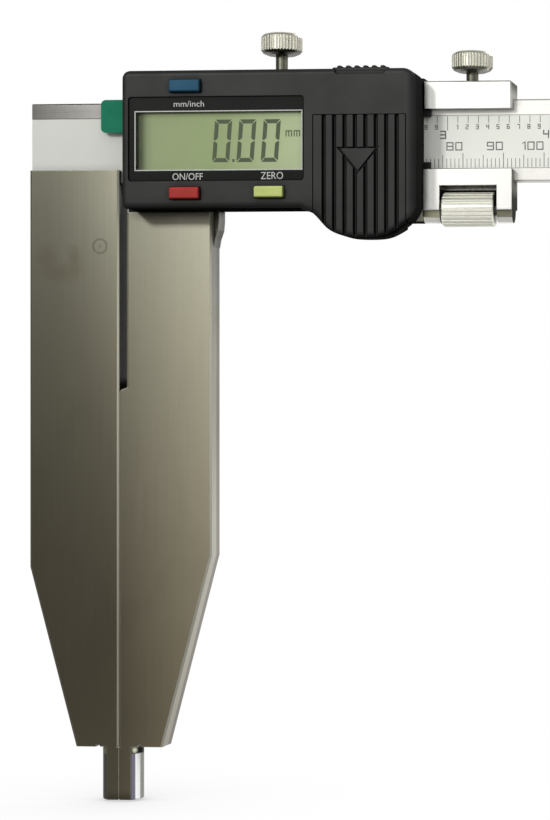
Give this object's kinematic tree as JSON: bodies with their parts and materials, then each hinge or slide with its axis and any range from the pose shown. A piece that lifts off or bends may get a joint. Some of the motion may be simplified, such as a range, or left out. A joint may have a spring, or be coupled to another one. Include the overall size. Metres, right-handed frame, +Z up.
{
  "type": "digital caliper",
  "caption": "Long-jaw digital caliper with a sliding electronic display head, fine-adjustment carriage and thumb locks, built from its separate working pieces.",
  "frame": {"origin": "at the jaw tips, on the closed measuring plane between the two jaws and in the middle of the beam's thickness", "axes": "+X along the beam in the direction the jaw opens, +Y from the display to the back, +Z up from the jaw tips to the beam"},
  "size_m": [0.4421, 0.0203, 0.1889],
  "materials": {
    "beam_steel": "satin ground",
    "jaw_steel": "satin ground",
    "block_steel": "satin",
    "pin_steel": "ground",
    "screw_steel": "plain",
    "nickel": "satin nickel",
    "brass": "machined",
    "spring_metal": "plated",
    "label_film": "satin print",
    "rear_film": "satin silver film",
    "fibreglass": "solder mask",
    "scale_board": "bare laminate",
    "housing_plastic": "fine moulded texture",
    "bezel_plastic": "smooth",
    "door_plastic": "ribbed",
    "window": "clear",
    "lcd": "reflective liquid crystal",
    "zebra": "striped elastomer",
    "chip_epoxy": "epoxy drop",
    "switch": "moulded",
    "key_blue": "satin",
    "key_red": "satin",
    "key_yellow": "satin",
    "battery_steel": "satin",
    "tab_green": "film",
    "wiper_rubber": "matt",
    "gib": "bronze strip"
  },
  "bodies": {
    "beam": {"beam": "beam_steel", "scale_strip": "scale_board", "ruler_label": "label_film", "fixed_jaw": "jaw_steel", "fixed_jaw_pins": "pin_steel", "beam_end_stop": "block_steel", "end_stop_screws": "screw_steel"},
    "slider": {"sliding_jaw": "jaw_steel", "gib_strip": "gib", "gib_screws": "screw_steel", "front_housing": "housing_plastic", "display_bezel": "bezel_plastic", "lcd_window": "window", "lcd_panel": "lcd", "zebra_connectors": "zebra", "circuit_board": "fibreglass", "board_screws": "screw_steel", "control_chip": "chip_epoxy", "tact_switches": "switch", "battery": "battery_steel", "battery_contacts": "spring_metal", "port_contacts": "brass", "housing_screws": "screw_steel", "rear_label": "rear_film", "pull_tab": "tab_green", "beam_wiper": "wiper_rubber", "fine_screw": "screw_steel", "fine_screw_pin": "pin_steel"},
    "mm_inch_key": {"mm_inch_button": "key_blue"},
    "power_key": {"power_button": "key_red"},
    "zero_key": {"zero_button": "key_yellow"},
    "door": {"battery_door": "door_plastic"},
    "port_lid": {"port_cover": "door_plastic"},
    "slider_pad": {"lock_pad": "brass"},
    "slider_thumbscrew": {"lock_screw": "nickel"},
    "fine_carriage": {"fine_block": "block_steel"},
    "fine_wheel": {"fine_nut": "nickel"},
    "block_pad": {"block_lock_pad": "brass"},
    "block_thumbscrew": {"block_lock_screw": "nickel"}
  },
  "joints": [
    {"name": "jaw_slide", "type": "slide", "parent": "beam", "child": "slider", "axis": [1, 0, 0], "range_m": [0, 0.3]},
    {"name": "mm_inch_press", "type": "slide", "parent": "slider", "child": "mm_inch_key", "axis": [0, 1, 0], "range_m": [0, 0.0005], "stiffness_N_per_m": 2000},
    {"name": "power_press", "type": "slide", "parent": "slider", "child": "power_key", "axis": [0, 1, 0], "range_m": [0, 0.0005], "stiffness_N_per_m": 2000},
    {"name": "zero_press", "type": "slide", "parent": "slider", "child": "zero_key", "axis": [0, 1, 0], "range_m": [0, 0.0005], "stiffness_N_per_m": 2000},
    {"name": "battery_door_slide", "type": "slide", "parent": "slider", "child": "door", "axis": [0, 0, -1], "range_m": [0, 0.032]},
    {"name": "port_cover_slide", "type": "slide", "parent": "slider", "child": "port_lid", "axis": [0, 1, 0], "range_m": [0, 0.008]},
    {"name": "lock_pad_slide", "type": "slide", "parent": "slider", "child": "slider_pad", "axis": [0, 0, -1], "range_m": [0, 0.00035]},
    {"name": "lock_screw_turn", "type": "hinge", "parent": "slider_pad", "child": "slider_thumbscrew", "pos_m": [0.03995, 0, 0.18], "axis": [0, 0, -1], "range_deg": [0, 252]},
    {"name": "fine_feed_slide", "type": "slide", "parent": "slider", "child": "fine_carriage", "axis": [1, 0, 0], "range_m": [0, 0.008]},
    {"name": "fine_nut_spin", "type": "hinge", "parent": "fine_carriage", "child": "fine_wheel", "pos_m": [0.0872, -0.0016, 0.1452], "axis": [1, 0, 0], "range_deg": [0, 5760.01]},
    {"name": "block_pad_slide", "type": "slide", "parent": "fine_carriage", "child": "block_pad", "axis": [0, 0, -1], "range_m": [0, 0.00035]},
    {"name": "block_screw_turn", "type": "hinge", "parent": "block_pad", "child": "block_thumbscrew", "pos_m": [0.0875, 0, 0.18], "axis": [0, 0, -1], "range_deg": [0, 252]}
  ],
  "couplings": [
    {"joint": "lock_screw_turn", "follows": "lock_pad_slide", "rad_per_m": 12566},
    {"joint": "fine_nut_spin", "follows": "fine_feed_slide", "rad_per_m": 12566},
    {"joint": "block_screw_turn", "follows": "block_pad_slide", "rad_per_m": 12566}
  ]
}
